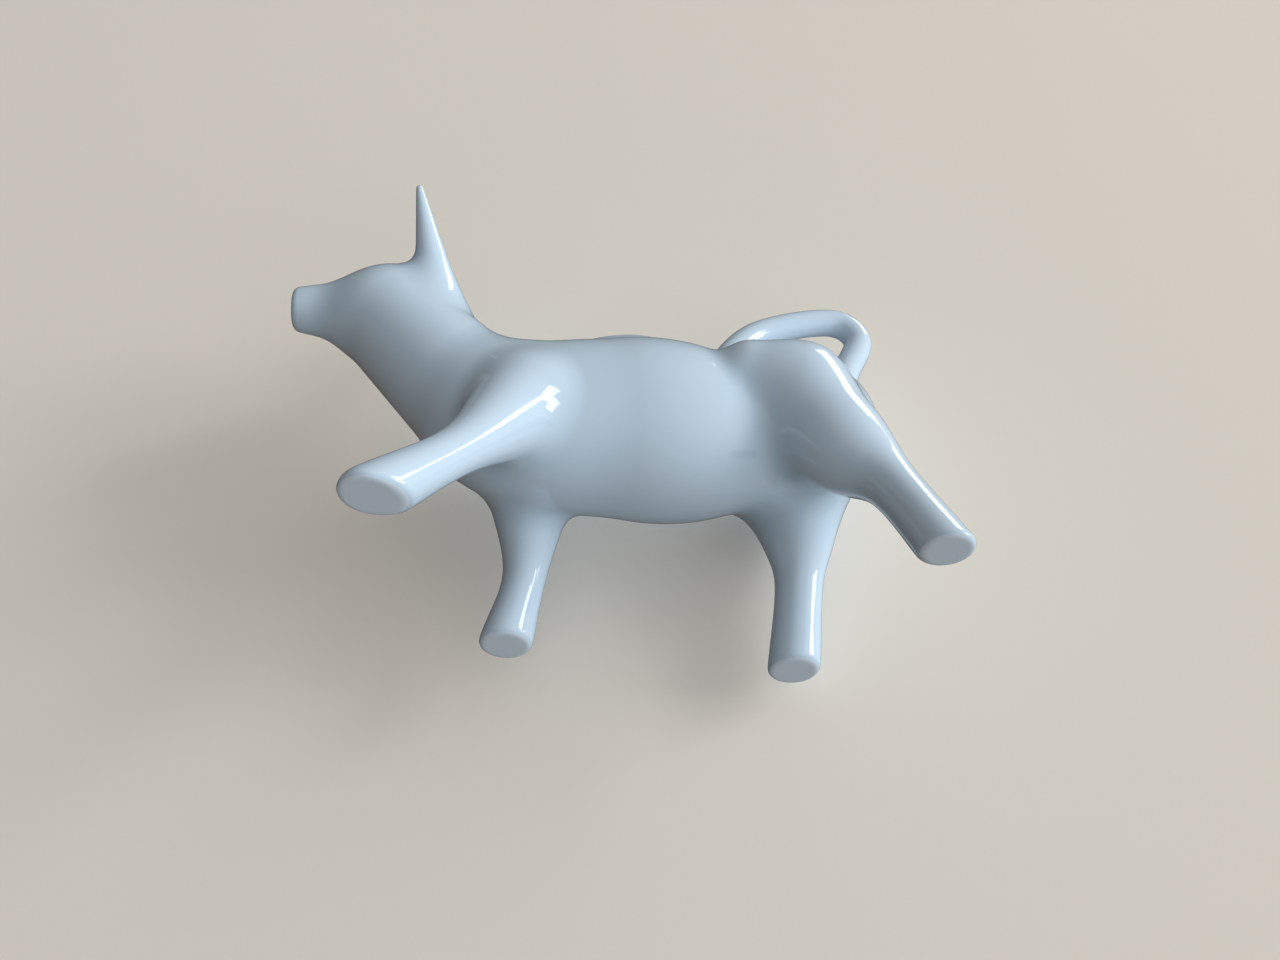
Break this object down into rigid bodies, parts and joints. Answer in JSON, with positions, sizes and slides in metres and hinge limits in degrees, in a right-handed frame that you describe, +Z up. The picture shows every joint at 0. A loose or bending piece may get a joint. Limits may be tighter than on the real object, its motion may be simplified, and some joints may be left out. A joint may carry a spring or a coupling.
{
  "type": "cow creamer",
  "caption": "Small white porcelain pouring jug shaped as a walking cow: filled through its back, held by the looped tail, poured from the muzzle.",
  "frame": {"origin": "on the standing plane, under the centre of the whole object's box", "axes": "+Z up out of the standing plane, +X from muzzle to rump, so the cow faces -X and its left side is towards -Y"},
  "size_m": [0.1484, 0.0622, 0.1044],
  "materials": {
    "glazed_porcelain": "gloss glaze"
  },
  "bodies": {
    "root": {"body_shell": "glazed_porcelain", "head_spout": "glazed_porcelain", "front_left_leg": "glazed_porcelain", "front_right_leg": "glazed_porcelain", "rear_left_leg": "glazed_porcelain", "rear_right_leg": "glazed_porcelain", "left_horn": "glazed_porcelain", "right_horn": "glazed_porcelain", "tail_handle": "glazed_porcelain"}
  },
  "joints": []
}
